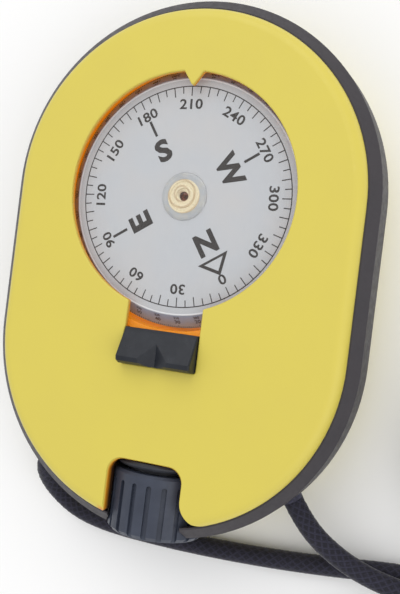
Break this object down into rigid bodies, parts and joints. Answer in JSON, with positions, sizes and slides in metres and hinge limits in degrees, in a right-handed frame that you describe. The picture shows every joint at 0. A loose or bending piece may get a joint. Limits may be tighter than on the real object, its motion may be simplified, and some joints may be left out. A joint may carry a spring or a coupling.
{
  "type": "handheld bearing compass",
  "caption": "Palm-size sighting compass: round-ended yellow case, liquid-filled window with a turning dial, raised sight, ribbed focusing eyepiece and neck cord.",
  "frame": {"origin": "centre of the flat back face, on the surface the compass lies on", "axes": "+Z out of the dial face, +Y along the sighting direction away from the eyepiece, +X to the user's right"},
  "size_m": [0.1392, 0.11, 0.0251],
  "materials": {
    "shell_yellow": "moulded, fine satin texture",
    "band_black": "satin",
    "block_black": "moulded, satin",
    "barrel_black": "moulded, grooved, satin",
    "housing_black": "moulded, matt inside",
    "clear_acrylic": "polished clear acrylic",
    "capsule_amber": "amber-tinted, polished",
    "optical_glass": "polished",
    "dial_silver": "fine brushed, printed",
    "hub_clear": "clear, polished",
    "cup_brass": "turned, polished",
    "jewel_stone": "polished stone",
    "magnet_steel": "ground",
    "pivot_steel": "polished",
    "screw_steel": "blackened",
    "seal_rubber": "soft",
    "seal_amber": "amber-tinted, soft",
    "cord_navy": "braided polyester",
    "tie_black": "woven hook tape"
  },
  "bodies": {
    "case": {"front_shell": "shell_yellow", "back_shell": "shell_yellow", "rim_band": "band_black", "shell_screws": "screw_steel", "sight_block": "block_black", "reading_prism": "clear_acrylic", "optics_housing": "housing_black", "reticle_plate": "optical_glass", "field_lens": "optical_glass", "barrel_o_ring": "seal_rubber", "capsule_body": "capsule_amber", "capsule_lid": "clear_acrylic", "capsule_gasket": "seal_amber", "capsule_cradle": "housing_black", "expansion_diaphragm": "seal_rubber", "filler_plug": "cup_brass", "pivot_post": "cup_brass", "pivot_needle": "pivot_steel", "lanyard_knot_left": "cord_navy", "lanyard_knot_right": "cord_navy", "lanyard_left": "cord_navy", "lanyard_right": "cord_navy", "lanyard_coil": "cord_navy", "coil_tie": "tie_black"},
    "dial": {"dial_disc": "dial_silver", "dial_skirt": "dial_silver", "dial_hub": "hub_clear", "jewel_cup": "cup_brass", "jewel": "jewel_stone", "bar_magnets": "magnet_steel", "balance_weight": "cup_brass"},
    "lens_carrier": {"lens_cell": "housing_black", "eye_lens": "optical_glass", "lens_retainer": "housing_black"},
    "focus_ring": {"focus_barrel": "barrel_black"}
  },
  "joints": [
    {"name": "dial_spin", "type": "hinge", "parent": "case", "child": "dial", "pos_m": [0, 0.01366, 0.01855], "axis": [0, 0, 1], "continuous": true},
    {"name": "focus_travel", "type": "slide", "parent": "case", "child": "lens_carrier", "axis": [0, -1, 0], "range_m": [-0.0006, 0.0016]},
    {"name": "focus_turn", "type": "hinge", "parent": "lens_carrier", "child": "focus_ring", "pos_m": [0, -0.046, 0.0128], "axis": [0, -1, 0], "range_deg": [-72, 192]}
  ],
  "couplings": [
    {"joint": "focus_travel", "follows": "focus_turn", "m_per_rad": 0.00047746}
  ]
}
